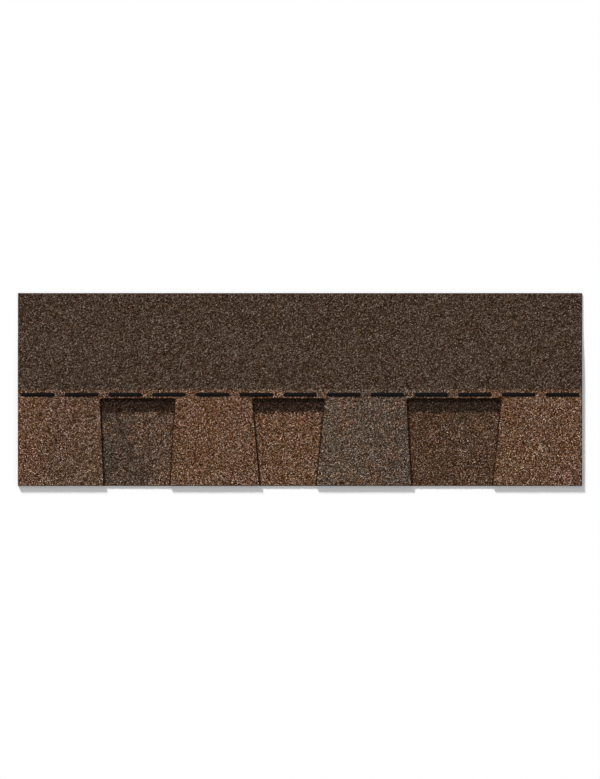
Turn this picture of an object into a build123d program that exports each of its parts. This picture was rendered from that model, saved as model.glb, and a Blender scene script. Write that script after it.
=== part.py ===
from build123d import *
import os
from itertools import cycle

# One laminated strip shingle, as it lies on a level floor with its granules up.
# X runs along the strip, Y from the butt edge up the slope to the top edge, and Z up.
# The origin is on the floor, under the middle of the strip. Sizes are in millimetres.

# Top layer: the full height of the strip
LENGTH = 984.25  # 38 3/4 in
HEIGHT = 336.55  # 13 1/4 in
TOP_THICKNESS = 2.4

# Tooth cut: its depth is the exposure and the part that the next course covers
EXPOSURE = 142.875  # 5 5/8 in
RECESS_COVER = 9.525  # 3/8 in
RECESS_CORNER = 4.0  # radius at the two upper corners of a recess
# Widths along the butt edge, from the left end: a tab, then the recess after it. The leans say how
# far the recess's left and right sides move outwards on the way up, so that each tab flares down.
TOOTH_CUT = [
    (150.0, 115.0, 6.5, 9.0),
    (157.0, 98.0, 13.0, 15.0),
    (167.0, 141.0, 9.0, 15.0),
    (160.0, 120.0, 7.5, 10.0),
]

# Backer strip: it reaches past the recesses, and the nails go through both layers there
BACKER_THICKNESS = 2.4
BOND_WIDTH = 25.4  # 1 in

# Headlap: it eases down from the backer's upper edge until it lies on the floor
DRAPE_RUN = 130.0

# Sealant strip: a broken line of asphalt adhesive beads on the face, just above the recesses
BEAD_LENGTH = 60.0
BEAD_WIDTH = 8.0
BEAD_HEIGHT = 0.9
BEAD_PITCH = 76.2  # 3 in
BEAD_BEVEL = 0.4
BEAD_GAP = 3.0  # from the recesses' upper edge

# Release film: it keeps the sealant of the next shingle in a pack from sticking
FILM_WIDTH = 38.0
FILM_THICKNESS = 0.1
FILM_GAP = 6.0  # from the backer's upper edge

RECESS_DEPTH = EXPOSURE + RECESS_COVER
BACKER_HEIGHT = RECESS_DEPTH + BOND_WIDTH
FACE = BACKER_THICKNESS + TOP_THICKNESS


def recess_outline(start, width, left_lean, right_lean):
    """One recess, open at the butt edge and rounded at its two upper corners."""
    corners = [
        (start, 0),
        (start + width, 0),
        (start + width + right_lean, RECESS_DEPTH),
        (start - left_lean, RECESS_DEPTH),
    ]
    cut = make_face(Polyline(*corners, close=True))
    return fillet(cut.vertices().group_by(Axis.Y)[-1], RECESS_CORNER)


def toothed_outline():
    """The top layer seen from above. The tooth cut repeats until the strip's length is used up."""
    outline = Rectangle(LENGTH, HEIGHT, align=(Align.MIN, Align.MIN))
    start = 0.0
    for tab, recess, left_lean, right_lean in cycle(TOOTH_CUT):
        start += tab
        if start - left_lean >= LENGTH:
            return outline
        outline -= recess_outline(start, recess, left_lean, right_lean)
        start += recess


def draped_slab(underside, thickness):
    """A sheet level over the backer, then two equal arcs down, then level on the floor."""

    def drape(level):
        crest = (BACKER_HEIGHT, level)
        middle = (BACKER_HEIGHT + DRAPE_RUN / 2, level - BACKER_THICKNESS / 2)
        landing = (BACKER_HEIGHT + DRAPE_RUN, level - BACKER_THICKNESS)
        end = (landing[0] + HEIGHT, landing[1])
        bend = TangentArc(crest, middle, tangent=(1, 0)) + TangentArc(landing, middle, tangent=(-1, 0))
        return Line((0, level), crest) + bend + Line(landing, end)

    lower, upper = drape(underside), drape(underside + thickness)
    ends = Line(lower @ 0, upper @ 0) + Line(lower @ 1, upper @ 1)
    return extrude(Plane.YZ * make_face(lower + upper + ends), LENGTH)


def make_top_layer():
    """The die-cut sheet: its drape along the whole length, trimmed to the toothed outline."""
    return draped_slab(BACKER_THICKNESS, TOP_THICKNESS) & extrude(toothed_outline(), FACE)


def make_backer_strip():
    """The plain strip under the tabs. Its granules show in the recesses."""
    return Box(LENGTH, BACKER_HEIGHT, BACKER_THICKNESS, align=Align.MIN)


def make_sealant_strip():
    """The beads lie in one row on the face, centred on the strip's length."""
    bead = extrude(SlotOverall(BEAD_LENGTH, BEAD_WIDTH), BEAD_HEIGHT)
    bead = chamfer(bead.edges().group_by(Axis.Z)[-1], BEAD_BEVEL)
    count = int((LENGTH - BEAD_LENGTH) // BEAD_PITCH) + 1
    row = Pos(LENGTH / 2, RECESS_DEPTH + BEAD_GAP + BEAD_WIDTH / 2, FACE)
    return Compound([row * place * bead for place in GridLocations(BEAD_PITCH, 0, count, 1)])


def make_release_film():
    """The film lies against the underside of the headlap and follows its drape."""
    reach = Box(LENGTH, FILM_WIDTH, FACE, align=Align.MIN)
    skin = draped_slab(BACKER_THICKNESS - FILM_THICKNESS, FILM_THICKNESS)
    return skin & Pos(0, BACKER_HEIGHT + FILM_GAP, 0) * reach


pieces = {
    "top_layer": make_top_layer(),
    "backer_strip": make_backer_strip(),
    "sealant_strip": make_sealant_strip(),
    "release_film": make_release_film(),
}

os.makedirs("parts", exist_ok=True)
to_origin = Pos(-LENGTH / 2, -HEIGHT / 2, 0)
for name, piece in pieces.items():
    export_step(to_origin * piece, f"parts/{name}.step")
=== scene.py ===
import math

import bpy
import numpy as np
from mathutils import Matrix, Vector


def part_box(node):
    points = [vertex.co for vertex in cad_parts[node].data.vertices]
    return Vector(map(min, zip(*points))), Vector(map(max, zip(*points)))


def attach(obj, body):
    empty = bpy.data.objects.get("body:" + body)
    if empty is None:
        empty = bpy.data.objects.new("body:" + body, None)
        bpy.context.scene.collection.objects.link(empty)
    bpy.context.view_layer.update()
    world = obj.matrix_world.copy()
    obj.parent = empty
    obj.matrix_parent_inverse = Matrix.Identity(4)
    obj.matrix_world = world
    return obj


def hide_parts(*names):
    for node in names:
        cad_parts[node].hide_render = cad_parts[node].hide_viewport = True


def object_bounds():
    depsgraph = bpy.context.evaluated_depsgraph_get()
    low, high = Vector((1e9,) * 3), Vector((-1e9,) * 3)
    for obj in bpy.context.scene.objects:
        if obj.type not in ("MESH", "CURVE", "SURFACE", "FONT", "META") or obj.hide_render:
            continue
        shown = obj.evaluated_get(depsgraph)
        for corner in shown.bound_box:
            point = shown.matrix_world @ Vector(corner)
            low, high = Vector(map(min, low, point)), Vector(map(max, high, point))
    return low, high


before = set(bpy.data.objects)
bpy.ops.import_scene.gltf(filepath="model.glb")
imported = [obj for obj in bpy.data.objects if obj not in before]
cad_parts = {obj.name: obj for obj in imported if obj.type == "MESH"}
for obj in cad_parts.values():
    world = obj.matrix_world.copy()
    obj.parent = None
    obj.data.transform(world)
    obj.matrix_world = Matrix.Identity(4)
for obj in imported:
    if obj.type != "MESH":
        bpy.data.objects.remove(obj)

cad_low, cad_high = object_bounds()

# Backer strip
# The second, plain sheet of the laminate: a glass mat soaked in asphalt, with granules rolled into its
# face and fine sand dusted on its back. It lies under the tabs, and its granules show between them.
backer_low, backer_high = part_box("backer_strip")
left_end, butt_edge = cad_low.x, cad_low.y

# Each recess: its start from the left end and its width, both at the butt edge, and how far its left
# and right sides lean outwards on the way up
recesses = [
    (0.150, 0.115, 0.0065, 0.009),
    (0.422, 0.098, 0.013, 0.015),
    (0.687, 0.141, 0.009, 0.015),
]
recess_depth = 0.1524
recess_corner = 0.004
face_pitch = 0.0026  # of the mesh on a sheet's face; what stays in view gets half of it
field_margin = 0.003  # past the fields in view, for the finer mesh
wall_rows = 2
granule_jitter = 0.0003
jitter_seed = 11
granule_relief = 0.0005
edge_waver = 0.0004
on_line = 1e-4  # a vertex this near to a cut lies on it
on_level = 1e-6  # likewise to the level of a face
facing_up = 0.5  # the least share of its normal that a face on top has upwards


def activate(piece):
    """Selects a piece alone and makes it the active one."""
    bpy.ops.object.select_all(action="DESELECT")
    piece.select_set(True)
    bpy.context.view_layer.objects.active = piece


def sheet_block(name, low, high):
    """A closed slab whose face is a fine grid and whose underside is one plain face."""
    bpy.ops.object.select_all(action="DESELECT")
    size = high - low
    bpy.ops.mesh.primitive_grid_add(
        x_subdivisions=round(size.x / face_pitch),
        y_subdivisions=round(size.y / face_pitch),
        size=1,
        location=((low.x + high.x) / 2, (low.y + high.y) / 2, high.z),
    )
    piece = bpy.context.object
    piece.name = piece.data.name = name
    piece.scale = (size.x, size.y, 1)
    bpy.ops.object.transform_apply(location=True, rotation=True, scale=True)
    bpy.ops.object.mode_set(mode="EDIT")
    bpy.ops.mesh.select_mode(type="EDGE")
    bpy.ops.mesh.select_all(action="SELECT")
    bpy.ops.mesh.region_to_loop()
    for _ in range(wall_rows):
        bpy.ops.mesh.extrude_edges_move(TRANSFORM_OT_translate={"value": (0, 0, -size.z / wall_rows)})
    bpy.ops.mesh.edge_face_add()
    bpy.ops.mesh.select_all(action="SELECT")
    bpy.ops.mesh.normals_make_consistent(inside=False)
    bpy.ops.object.mode_set(mode="OBJECT")
    return piece


def from_outer_edge(x, y):
    """How far points lie inside the sheet's outer edges."""
    from_ends = np.minimum(x - cad_low.x, cad_high.x - x)
    return np.minimum(from_ends, np.minimum(y - cad_low.y, cad_high.y - y))


def from_recess(x, y):
    """How far points lie from the outline of the nearest recess, below zero inside it."""
    nearest = np.full(len(x), np.inf)
    up = (y - butt_edge) / recess_depth
    over = y - butt_edge - recess_depth + recess_corner
    for start, width, left_lean, right_lean in recesses:
        left = left_end + start - left_lean * up
        right = left_end + start + width + right_lean * up
        beside = np.maximum(left - x, x - right) + recess_corner
        outside = np.hypot(np.maximum(beside, 0), np.maximum(over, 0))
        nearest = np.minimum(nearest, outside + np.minimum(np.maximum(beside, over), 0) - recess_corner)
    return nearest


def from_cut(x, y):
    """How far points lie from the nearest cut: the sheet's outer edges or the outline of a recess."""
    return np.minimum(from_outer_edge(x, y), np.abs(from_recess(x, y)))


def read(elements, key):
    """A vector property of a mesh's vertices or faces, as three arrays."""
    values = np.empty(len(elements) * 3, np.float32)
    elements.foreach_get(key, values)
    return values.reshape(-1, 3).T


def pick(piece, kind, chosen):
    """Opens edit mode with just the chosen vertices, edges or polygons selected."""
    activate(piece)
    kinds = ("vertices", "edges", "polygons")
    for each in kinds:
        elements = getattr(piece.data, each)
        elements.foreach_set("select", chosen if each == kind else np.zeros(len(elements), bool))
    bpy.context.tool_settings.mesh_select_mode = [each == kind for each in kinds]
    bpy.ops.object.mode_set(mode="EDIT")


def pick_face(piece, wanted):
    """Opens edit mode with the faces selected that look up and whose places pass the test."""
    x, y = read(piece.data.polygons, "center")[:2]
    pick(piece, "polygons", (read(piece.data.polygons, "normal")[2] > facing_up) & wanted(x, y))


def refine_face(piece, wanted):
    """Halves the pitch of the face's mesh where its places pass the test."""
    pick_face(piece, wanted)
    bpy.ops.mesh.subdivide(number_cuts=1)
    bpy.ops.object.mode_set(mode="OBJECT")


def displace(piece, weights, strength, direction, grain=None):
    """Moves vertices along an axis or their normals, each by its weight, evenly or by a grain."""
    group = piece.vertex_groups.new(name="moved")
    for weight in np.unique(weights[weights > 0]):
        group.add(np.flatnonzero(weights == weight).tolist(), float(weight), "REPLACE")
    activate(piece)
    bpy.ops.object.modifier_add(type="DISPLACE")
    modifier = piece.modifiers[-1]
    modifier.vertex_group = group.name
    modifier.direction = direction
    modifier.strength = strength
    modifier.mid_level = 0.0
    if grain:
        modifier.texture = grain
        modifier.texture_coords = "LOCAL"
    bpy.ops.object.modifier_apply(modifier=modifier.name)
    piece.vertex_groups.clear()


granule_grain = bpy.data.textures.new("granule_grain", "VORONOI")
granule_grain.noise_scale = 0.0015
granule_grain.noise_intensity = 1.2
cut_grain = bpy.data.textures.new("cut_grain", "CLOUDS")
cut_grain.noise_scale = 0.003
cut_grain.noise_depth = 2


def waver_cuts(piece, *levels):
    """Gives the cut edges their ragged line, and lays the faces at the given levels flat again."""
    x, y, z = read(piece.data.vertices, "co")
    at_outer_edge = from_outer_edge(x, y) < on_line
    at_recess = (np.abs(from_recess(x, y)) < on_line) & ~at_outer_edge
    displace(piece, at_outer_edge.astype(float), -edge_waver, "NORMAL", cut_grain)
    displace(piece, at_recess.astype(float), edge_waver, "NORMAL", cut_grain)
    for level in levels:
        pick(piece, "vertices", np.abs(z - level) < on_level)
        bpy.ops.transform.resize(value=(1, 1, 0), center_override=(0, 0, level))
        bpy.ops.object.mode_set(mode="OBJECT")


def roughen_face(piece, in_view):
    """Gives the face in view the relief of its granules."""
    pick_face(piece, in_view)
    bpy.ops.object.mode_set(mode="OBJECT")
    picked = np.empty(len(piece.data.vertices), bool)
    piece.data.vertices.foreach_get("select", picked)
    displace(piece, picked.astype(float), -granule_relief, "Z", granule_grain)
    x, y = read(piece.data.vertices, "co")[:2]
    pick(piece, "vertices", picked & (from_cut(x, y) > granule_jitter))
    bpy.ops.transform.vertex_random(offset=granule_jitter, uniform=1.0, normal=0.0, seed=jitter_seed)
    bpy.ops.object.mode_set(mode="OBJECT")


class Finish:
    """A material, written one node at a time."""

    def __init__(self, name):
        self.material = bpy.data.materials.new(name)
        self.material.use_nodes = True
        self.tree = self.material.node_tree
        self.shader = self.tree.nodes["Principled BSDF"]
        self.object_place = self.add("ShaderNodeTexCoord").outputs["Object"]

    def add(self, kind, settings=None, **inputs):
        """A node with its settings, and its sockets set to values or joined to other nodes' outputs."""
        node = self.tree.nodes.new(kind)
        for key, value in (settings or {}).items():
            setattr(node, key, value)
        for key, value in inputs.items():
            self.join(value, node.inputs[int(key[1:]) if key[1:].isdigit() else key.replace("_", " ")])
        return node

    def join(self, value, socket):
        """Sets a socket to a value, or links another node's output to it."""
        if isinstance(value, bpy.types.NodeSocket):
            self.tree.links.new(value, socket)
        else:
            socket.default_value = value

    def math(self, operation, first, second=0.0, third=0.0):
        """A sum, a product or a test."""
        node = self.add("ShaderNodeMath", {"operation": operation}, i0=first, i1=second, i2=third)
        return node.outputs[0]

    def mix(self, factor, first, second):
        """One colour, or the other where the factor is 1."""
        return self.add("ShaderNodeMix", {"data_type": "RGBA"}, i0=factor, i6=first, i7=second).outputs[2]

    def ramp(self, factor, stops, steps=False):
        """A colour ramp. stops are (place, colour) or (place, grey), in order."""
        node = self.add("ShaderNodeValToRGB", i0=factor)
        ramp = node.color_ramp
        ramp.interpolation = "CONSTANT" if steps else "LINEAR"
        while len(ramp.elements) < len(stops):
            ramp.elements.new(0.5)
        for element, (place, colour) in zip(ramp.elements, stops):
            element.position = place
            shade = colour if isinstance(colour, tuple) else (colour,) * 3
            element.color = (*shade, 1.0)
        return node.outputs["Color"]

    def noise(self, scale, detail, roughness, place=None):
        """A soft noise over the piece, as its value and its colour."""
        sockets = {"Scale": scale, "Detail": detail, "Roughness": roughness}
        return self.add("ShaderNodeTexNoise", Vector=place or self.object_place, **sockets).outputs

    def split(self, colour):
        """The three parts of a colour, each a chance of its own."""
        return self.add("ShaderNodeSeparateColor", Color=colour).outputs

    def coat(self, colour, roughness, gloss=0.5):
        """Sets the colour, how rough it is and how much it mirrors."""
        self.join(colour, self.shader.inputs["Base Color"])
        self.join(roughness, self.shader.inputs["Roughness"])
        self.join(gloss, self.shader.inputs["Specular IOR Level"])

    def emboss(self, height, depth, strength):
        """Lets the light fall as on a relief of this depth."""
        bump = self.add("ShaderNodeBump", Strength=strength, Distance=depth, Height=height)
        self.join(bump.outputs["Normal"], self.shader.inputs["Normal"])


# Each field's colour, and the tones that its granules come in: from the share of granules given first,
# how bright and how saturated they are against the field's colour. The brightest, least saturated tones
# are partly pale granules and partly painted glints, the neutral highlights of the granules' facets.
brown = (0.185, 0.090, 0.045)
rust = (0.219, 0.094, 0.036)
taupe = (0.163, 0.104, 0.065)
slate = (0.145, 0.098, 0.067)
olive = (0.109, 0.070, 0.044)
umber = (0.129, 0.061, 0.027)
shadow = (0.042, 0.022, 0.012)
headlap = (0.100, 0.056, 0.031)
tones_and_glints = [
    (0.00, 0.18, 1.08),
    (0.26, 0.42, 1.04),
    (0.48, 0.95, 0.90),
    (0.72, 1.30, 0.82),
    (0.84, 2.20, 0.69),
    (0.95, 3.60, 0.57),
]
granule_size = 0.0013
granule_dimming = 0.3  # at most, from the brightness of its tone
granule_lift = 0.5  # at most, over its neighbours, as a share of the relief
asphalt = (0.012, 0.010, 0.009)
shade_warmed_asphalt = (0.021, 0.009, 0.003)  # the black asphalt between the granules and along the cuts, tinted brown as painted warm shade from light bounced among the granules
gap_shows = [(0.02, 0.85), (0.12, 0.0)]  # how much of it, from a granule's edge inwards, in granule sizes
worn_and_shaded_least = 0.0005  # the dark line along a cut: asphalt worn bare of granules at the sheet's own edges, and painted shade on the backer at the foot of the tabs' cut sides
worn_and_shaded_reach = 0.0010  # how much wider it gets

# Granules fall in patches and smaller clumps, each with a lean of its own
patches_per_metre = 17.0
clumps_per_metre = 70.0
patch_weight = 0.6  # of their saturation against a granule's own
saturation_least = 0.53
saturation_swing = 0.4
patch_turn = 0.03  # of the hue
granule_turn = 0.02
unturned = 0.5
patch_shift = 0.06  # of the fields' colours along the strip
stray_share = 0.10  # of rust granules among those of any other field
stray_swing = 1.8  # how much more or fewer of them a patch has


def granule_finish(name, fields, upper_colour, upper_limit, upper_waver):
    """Granules bedded in asphalt. fields gives their colour at places along the strip; from upper_limit
    up the slope, wavering by upper_waver, they are of upper_colour."""
    n = Finish(name)
    place = n.add("ShaderNodeSeparateXYZ", Vector=n.object_place).outputs
    flat = {"voronoi_dimensions": "2D"}
    cells = n.add("ShaderNodeTexVoronoi", flat, Vector=n.object_place, Scale=1 / granule_size).outputs
    pick_tone, pick_tint, pick_edge = n.split(cells["Color"])
    chance = n.add("ShaderNodeTexWhiteNoise", {"noise_dimensions": "2D"}, Vector=cells["Position"])
    chance = chance.outputs["Value"]
    patches = n.split(n.noise(patches_per_metre, detail=3.0, roughness=0.6)["Color"])
    clumps = n.split(n.noise(clumps_per_metre, detail=2.0, roughness=0.6)["Color"])

    along = n.math("MULTIPLY_ADD", patches[0], patch_shift, place["X"])
    along = n.math("SUBTRACT", along, left_end + patch_shift / 2)
    along = n.math("DIVIDE", along, cad_high.x - cad_low.x)
    strays = n.math("ADD", patches[0], clumps[0])
    strays = n.math("MULTIPLY_ADD", strays, stray_swing, stray_share - stray_swing)
    field = n.mix(n.math("LESS_THAN", pick_edge, strays), n.ramp(along, fields), (*rust, 1))
    edge = n.math("MULTIPLY_ADD", clumps[0], upper_waver, upper_limit - upper_waver / 2)
    edge = n.math("MULTIPLY_ADD", pick_edge, upper_waver / 2, edge)
    field = n.mix(n.math("GREATER_THAN", place["Y"], edge), field, (*upper_colour, 1))

    lean = n.math("MULTIPLY_ADD", n.math("ADD", patches[1], clumps[1]), patch_weight, pick_tint)
    lean = n.math("MULTIPLY_ADD", lean, saturation_swing, saturation_least)
    saturation = n.ramp(pick_tone, [(share, saturation) for share, value, saturation in tones_and_glints], True)
    saturation = n.math("MULTIPLY", saturation, lean)
    turn = n.math("ADD", patches[2], clumps[2])
    turn = n.math("MULTIPLY_ADD", turn, patch_turn, unturned - patch_turn - granule_turn / 2)
    turn = n.math("MULTIPLY_ADD", chance, granule_turn, turn)
    # The palest tones, up to this many times the field's brightness, carry painted glints along with the
    # pale granules.
    palest_and_glint = tones_and_glints[-1][1]
    value = n.ramp(pick_tone, [(share, value / palest_and_glint) for share, value, saturation in tones_and_glints], True)
    dimming = n.math("MULTIPLY_ADD", chance, granule_dimming * palest_and_glint, (1 - granule_dimming) * palest_and_glint)
    value = n.math("MULTIPLY", value, dimming)
    tinted = n.add("ShaderNodeHueSaturation", Hue=turn, Saturation=saturation, Value=value, Color=field)

    edges = {**flat, "feature": "DISTANCE_TO_EDGE"}
    gaps = n.add("ShaderNodeTexVoronoi", edges, Vector=n.object_place, Scale=1 / granule_size)
    gap = n.ramp(gaps.outputs["Distance"], gap_shows)
    near_cut = n.add("ShaderNodeAttribute", {"attribute_name": "from_cut"}).outputs["Fac"]
    # A dark line along each cut: bare asphalt where granules wore off the sheet's own edges, and painted
    # shade on the backer at the foot of the tabs' cut sides.
    worn_and_shaded = n.math("LESS_THAN", near_cut, n.math("MULTIPLY_ADD", chance, worn_and_shaded_reach, worn_and_shaded_least))
    # The asphalt showing between the granules and in the dark line along the cuts is tinted brown as
    # painted warm shade.
    colour = n.mix(n.math("MAXIMUM", gap, worn_and_shaded), tinted.outputs["Color"], (*shade_warmed_asphalt, 1))
    n.coat(colour, roughness=0.85, gloss=0.03)
    height = n.math("MULTIPLY_ADD", chance, granule_lift, n.math("SUBTRACT", 1.0, cells["Distance"]))
    n.emboss(height, depth=granule_relief, strength=0.6)
    return n.material


glass = (0.39, 0.33, 0.26)
cut_specks_per_metre = 900.0
cut_colours = [(0.0, asphalt), (0.72, shadow), (0.93, umber), (0.98, glass)]
cut_grit = 0.0004


def cut_edge_finish():
    """The cut edge: black asphalt with the pale ends of the glass mat and a few broken granules."""
    n = Finish("cut_edge")
    specks = n.add("ShaderNodeTexVoronoi", Vector=n.object_place, Scale=cut_specks_per_metre).outputs
    n.coat(n.ramp(n.split(specks["Color"])[0], cut_colours, True), roughness=0.7, gloss=0.25)
    n.emboss(specks["Distance"], depth=cut_grit, strength=0.7)
    return n.material


sand_grey = (0.11, 0.10, 0.09)
sand_pale = (0.17, 0.16, 0.15)
sand_per_metre = 1800.0
sand_colours = [(0.0, shadow), (0.45, sand_grey), (0.85, sand_pale)]
sand_grit = 0.0002
drifts_per_metre = 22.0
drift_stretch = (0.3, 1.0, 1.0)  # lengthwise, as the sheet ran on the line
bare_least = 0.1
bare_swing = 0.9


def sanded_back_finish():
    """The back: asphalt pressed smooth on the line and dusted with fine grey sand."""
    n = Finish("sanded_back")
    sand = n.add("ShaderNodeTexVoronoi", Vector=n.object_place, Scale=sand_per_metre)
    pick_sand, pick_bare, height = n.split(sand.outputs["Color"])
    lengthwise = n.add("ShaderNodeMapping", Vector=n.object_place, Scale=drift_stretch).outputs[0]
    drift = n.noise(drifts_per_metre, detail=5.0, roughness=0.65, place=lengthwise)["Fac"]
    bare = n.math("LESS_THAN", pick_bare, n.math("MULTIPLY_ADD", drift, bare_swing, bare_least))
    n.coat(n.mix(bare, n.ramp(pick_sand, sand_colours, True), (*asphalt, 1)), roughness=0.75, gloss=0.2)
    n.emboss(height, depth=sand_grit, strength=0.4)
    return n.material


cut_edge = cut_edge_finish()
sanded_back = sanded_back_finish()


def finish_sheet(piece, granules):
    """Granules on the face, the cut edge on the walls and the sanded back underneath."""
    for finish in (granules, cut_edge, sanded_back):
        piece.data.materials.append(finish)
    up = read(piece.data.polygons, "normal")[2]
    sides = np.select([up > facing_up, up > -facing_up], [0, 1], 2)
    piece.data.polygons.foreach_set("material_index", sides.astype(np.int32))
    x, y = read(piece.data.vertices, "co")[:2]
    near_cut = piece.data.attributes.new("from_cut", "FLOAT", "POINT")
    near_cut.data.foreach_set("value", from_cut(x, y).astype(np.float32))


# The backer's colours at places along the strip, and the dark band that runs up under the headlap
backer_fields = [
    (0.17, olive),
    (0.33, brown),
    (0.42, rust),
    (0.55, rust),
    (0.65, umber),
    (1.00, umber),
]
band_edge = butt_edge + 0.125
band_waver = 0.012
backer = sheet_block("backer_sheet", backer_low, backer_high)
refine_face(backer, lambda x, y: from_recess(x, y) < field_margin)
backer_granules = granule_finish("backer_granules", backer_fields, shadow, band_edge, band_waver)
finish_sheet(backer, backer_granules)
waver_cuts(backer, backer_low.z, backer_high.z)
roughen_face(backer, lambda x, y: from_recess(x, y) < field_margin / 2)
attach(backer, "root")
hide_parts("backer_strip")

# Top layer
# The full sheet of the strip, of the same mat, asphalt and granules. A die cuts the teeth out of it, and
# hot asphalt laminates its tabs to the backer. Past the backer the headlap eases down to the floor.
top_low, top_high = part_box("top_layer")
corner_segments = 5
die_reach = 0.0006  # past both faces of the sheet
die_rows = 3
die_side_cuts = 75
butt_overrun = 0.010  # of the die past the butt edge
drape_run = 0.130
drape_rows = 13
backer_edge = backer_high.y


def shift(piece, chosen, move):
    """Moves the chosen vertices."""
    pick(piece, "vertices", chosen)
    bpy.ops.transform.translate(value=move)
    bpy.ops.object.mode_set(mode="OBJECT")


def edge_ends(piece):
    """The places of both ends of each edge, and the edges' lengths."""
    ends = read(piece.data.vertices, "co").T[[edge.vertices[:] for edge in piece.data.edges]]
    return ends, np.linalg.norm(ends[:, 0] - ends[:, 1], axis=1)


def join_pieces(pieces):
    """Joins pieces into the first of them."""
    bpy.ops.object.select_all(action="DESELECT")
    for piece in pieces:
        piece.select_set(True)
    bpy.context.view_layer.objects.active = pieces[0]
    bpy.ops.object.join()


def recess_die(start, width, left_lean, right_lean):
    """The die that stamps out one recess: its outline with two rounded corners, drawn up to a block."""
    low_y, high_y = butt_edge - butt_overrun, butt_edge + recess_depth
    middle = (left_end + start + width / 2, (low_y + high_y) / 2, backer_high.z - die_reach)
    bpy.ops.object.select_all(action="DESELECT")
    bpy.ops.mesh.primitive_plane_add(size=1, location=middle)
    die = bpy.context.object
    die.scale = (width, high_y - low_y, 1)
    bpy.ops.object.transform_apply(location=True, rotation=True, scale=True)
    overrun = butt_overrun / recess_depth
    for at_right, lean in ((False, -left_lean), (True, right_lean)):
        for at_top, share in ((False, -overrun), (True, 1)):
            x, y = read(die.data.vertices, "co")[:2]
            corner = ((x > middle[0]) == at_right) & ((y > middle[1]) == at_top)
            shift(die, corner, (lean * share, 0, 0))
    pick(die, "vertices", read(die.data.vertices, "co")[1] > middle[1])
    bpy.ops.mesh.bevel(offset=recess_corner, segments=corner_segments, affect="VERTICES")
    bpy.ops.object.mode_set(mode="OBJECT")
    ends, lengths = edge_ends(die)
    pick(die, "edges", (lengths > 2 * recess_corner) & (ends[:, :, 1].max(axis=1) > butt_edge))
    bpy.ops.mesh.subdivide(number_cuts=die_side_cuts)
    bpy.ops.mesh.select_mode(type="FACE")
    bpy.ops.mesh.select_all(action="SELECT")
    height = top_high.z - backer_high.z + 2 * die_reach
    for _ in range(die_rows):
        bpy.ops.mesh.extrude_region_move(TRANSFORM_OT_translate={"value": (0, 0, height / die_rows)})
    bpy.ops.mesh.select_all(action="SELECT")
    bpy.ops.mesh.normals_make_consistent(inside=False)
    bpy.ops.object.mode_set(mode="OBJECT")
    return die


top = sheet_block("top_sheet", Vector((top_low.x, top_low.y, backer_high.z)), top_high)
pick(top, "polygons", read(top.data.polygons, "normal")[2] < -facing_up)
for row in range(drape_rows + 1):
    bpy.ops.mesh.select_all(action="DESELECT")
    bpy.ops.mesh.select_face_by_sides(number=4, type="GREATER")
    bpy.ops.mesh.bisect(plane_co=(0, backer_edge + drape_run * row / drape_rows, 0), plane_no=(0, 1, 0))
bpy.ops.object.mode_set(mode="OBJECT")
refine_face(top, lambda x, y: y < butt_edge + recess_depth + field_margin)
dies = [recess_die(*recess) for recess in recesses]
join_pieces(dies)
activate(top)
bpy.ops.object.modifier_add(type="BOOLEAN")
stamp = top.modifiers[-1]
stamp.operation = "DIFFERENCE"
stamp.solver = "EXACT"
stamp.object = dies[0]
bpy.ops.object.modifier_apply(modifier=stamp.name)
bpy.data.objects.remove(dies[0])

# The tabs' colours at places along the strip, and the plain headlap above them
top_fields = [
    (0.02, rust),
    (0.06, brown),
    (0.22, brown),
    (0.28, rust),
    (0.44, rust),
    (0.54, taupe),
    (0.72, slate),
    (0.83, rust),
]
headlap_edge = butt_edge + 0.166
headlap_waver = 0.008
top_granules = granule_finish("top_granules", top_fields, headlap, headlap_edge, headlap_waver)
finish_sheet(top, top_granules)
waver_cuts(top, backer_high.z, top_high.z)
along_drape = np.clip((read(top.data.vertices, "co")[1] - backer_edge) / drape_run, 0, 1)
fall = np.where(along_drape < 0.5, 2 * along_drape**2, 1 - 2 * (1 - along_drape) ** 2)
displace(top, fall.round(5), backer_low.z - backer_high.z, "Z")
roughen_face(top, lambda x, y: y > butt_edge)
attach(top, "root")
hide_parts("top_layer")

# Sealant strip
# Beads of soft asphalt laid hot in a broken line on the face, which the sun later bonds to the course
# above. Satin black, rounded over, uneven along their edges, and sunk in among the granules.
beads_low, beads_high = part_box("sealant_strip")
bead_length = 0.060
bead_pitch = 0.0762
bead_segments = 16
bead_rings = 8
bead_cuts = 16
bead_edge_waver = 0.0010
bead_crest_waver = 0.0004
bead_foot = 1e-5  # a vertex of a bead further than this below the face gets sunk in
sealant_black = (0.008, 0.007, 0.007, 1)
sealant_ripples_per_metre = 300.0
sealant_ripple = 0.0008

bead_radius = (beads_high.y - beads_low.y) / 2
bead_height = beads_high.z - beads_low.z
bead_centre = Vector((beads_low.x + bead_length / 2, beads_low.y + bead_radius, beads_low.z))
bpy.ops.object.select_all(action="DESELECT")
bpy.ops.mesh.primitive_uv_sphere_add(
    segments=bead_segments,
    ring_count=bead_rings,
    radius=bead_radius,
    location=bead_centre,
    rotation=(0, math.pi / 2, 0),
)
beads = bpy.context.object
beads.name = beads.data.name = "sealant_beads"
bpy.ops.object.transform_apply(location=True, rotation=True, scale=True)
for side in (-1, 1):
    half = side * (read(beads.data.vertices, "co")[0] - bead_centre.x) > bead_radius / 100
    shift(beads, half, (side * (bead_length / 2 - bead_radius), 0, 0))
pick(beads, "edges", edge_ends(beads)[1] > 2 * bead_radius)
bpy.ops.mesh.subdivide(number_cuts=bead_cuts)
bpy.ops.mesh.select_all(action="SELECT")
bpy.ops.transform.resize(value=(1, 1, bead_height / bead_radius), center_override=bead_centre)
bpy.ops.object.mode_set(mode="OBJECT")
shift(beads, read(beads.data.vertices, "co")[2] < beads_low.z - bead_foot, (0, 0, -granule_relief))
bead_line = [beads]
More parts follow.
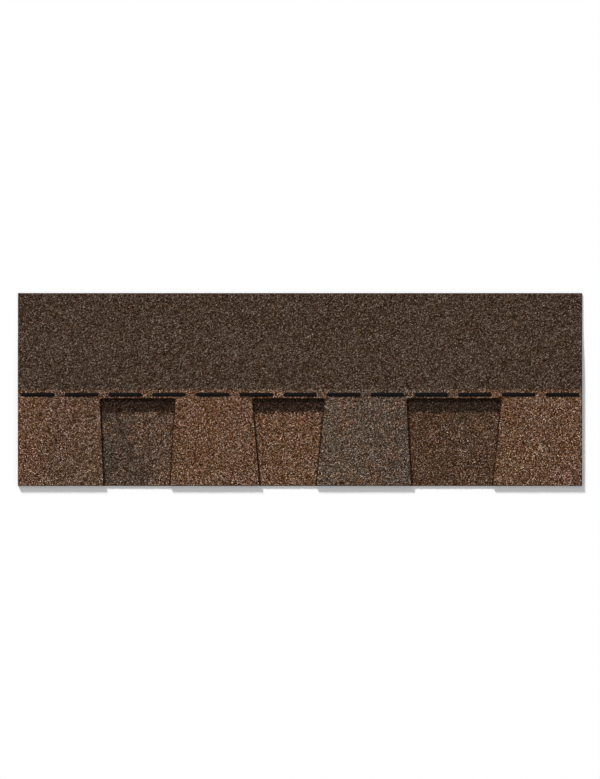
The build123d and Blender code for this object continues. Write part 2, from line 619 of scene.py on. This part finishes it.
for index in range(1, round((beads_high.x - beads_low.x - bead_length) / bead_pitch) + 1):
    activate(beads)
    bpy.ops.object.duplicate()
    bpy.context.object.location.x = bead_pitch * index
    bead_line.append(bpy.context.object)
join_pieces(bead_line)
bead_grain = bpy.data.textures.new("bead_grain", "CLOUDS")
bead_grain.noise_scale = 0.006
bead_grain.noise_depth = 2
up = np.clip((read(beads.data.vertices, "co")[2] - beads_low.z) / bead_height, 0, 1)
share = 1 - (1 - bead_crest_waver / bead_edge_waver) * up
displace(beads, share.round(2), -bead_edge_waver, "NORMAL", bead_grain)
bpy.ops.object.shade_smooth()
sealant = Finish("asphalt_sealant")
sealant.coat(sealant_black, roughness=0.55, gloss=0.02)
ripples = sealant.noise(sealant_ripples_per_metre, detail=2.0, roughness=0.5)["Fac"]
sealant.emboss(ripples, depth=sealant_ripple, strength=0.5)
beads.data.materials.append(sealant.material)
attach(beads, "root")
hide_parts("sealant_strip")

# Release film
# A clear polyester film rolled onto the back of the headlap, which keeps the sealant of the next
# shingle in the pack from sticking to it.
film_grey = (0.22, 0.22, 0.22, 1)
film_opacity = 0.4
film_wrinkles_per_metre = 60.0
film_wrinkle = 0.0004
clear_film = Finish("clear_film")
clear_film.coat(film_grey, roughness=0.12)
wrinkles = clear_film.noise(film_wrinkles_per_metre, detail=2.0, roughness=0.5)["Fac"]
clear_film.emboss(wrinkles, depth=film_wrinkle, strength=0.3)
clear_film.join(film_opacity, clear_film.shader.inputs["Alpha"])
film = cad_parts["release_film"]
film.data.materials.clear()
film.data.materials.append(clear_film.material)

# Floor, light and camera
# A plain pale floor, a low soft sun from up the slope and a little to the left, and an even sky. The
# camera looks straight down through a long lens.
floor_size = 30
floor_white = (0.94, 0.94, 0.94, 1)
floor_glow = 0.06  # only where it is seen, up to white
white = (1, 1, 1, 1)
bpy.ops.object.select_all(action="DESELECT")
bpy.ops.mesh.primitive_plane_add(size=floor_size)
floor = bpy.context.object
floor.name = "floor"
pale_floor = Finish("pale_floor")
pale_floor.coat(floor_white, roughness=0.9)
rays = pale_floor.add("ShaderNodeLightPath").outputs
mirrored = pale_floor.math("MAXIMUM", rays["Is Glossy Ray"], rays["Is Transmission Ray"])
seen = pale_floor.math("MAXIMUM", rays["Is Camera Ray"], mirrored)
pale_floor.join(white, pale_floor.shader.inputs["Emission Color"])
glow = pale_floor.math("MULTIPLY", seen, floor_glow)
pale_floor.join(glow, pale_floor.shader.inputs["Emission Strength"])
floor.data.materials.append(pale_floor.material)

light_from = Vector((-3.4, 7.0, 2.6)).normalized()
sky_share = 0.45  # of the light; the sun gives the rest
sun_breadth = math.radians(8)
sun_data = bpy.data.lights.new("sun", "SUN")
sun_data.energy = (1 - sky_share) * math.pi / light_from.z
sun_data.angle = sun_breadth
sun = bpy.data.objects.new("sun", sun_data)
sun.rotation_mode = "QUATERNION"
sun.rotation_quaternion = light_from.to_track_quat("Z", "Y")
bpy.context.collection.objects.link(sun)
sky = bpy.data.worlds.new("sky")
sky.use_nodes = True
background = sky.node_tree.nodes["Background"].inputs
background["Color"].default_value = white
background["Strength"].default_value = sky_share
bpy.context.scene.world = sky

image_width, image_height = 600, 779
shingle_share = 0.94  # of the image's width
camera_distance = 6.0
camera_data = bpy.data.cameras.new("camera")
view_height = (cad_high.x - cad_low.x) / shingle_share * image_height / image_width
camera_data.lens = camera_data.sensor_width * camera_distance / view_height
camera = bpy.data.objects.new("camera", camera_data)
camera.location = (0, 0, camera_distance)
bpy.context.collection.objects.link(camera)
bpy.context.scene.camera = camera
bpy.context.scene.view_settings.view_transform = "Standard"

bpy.context.view_layer.update()
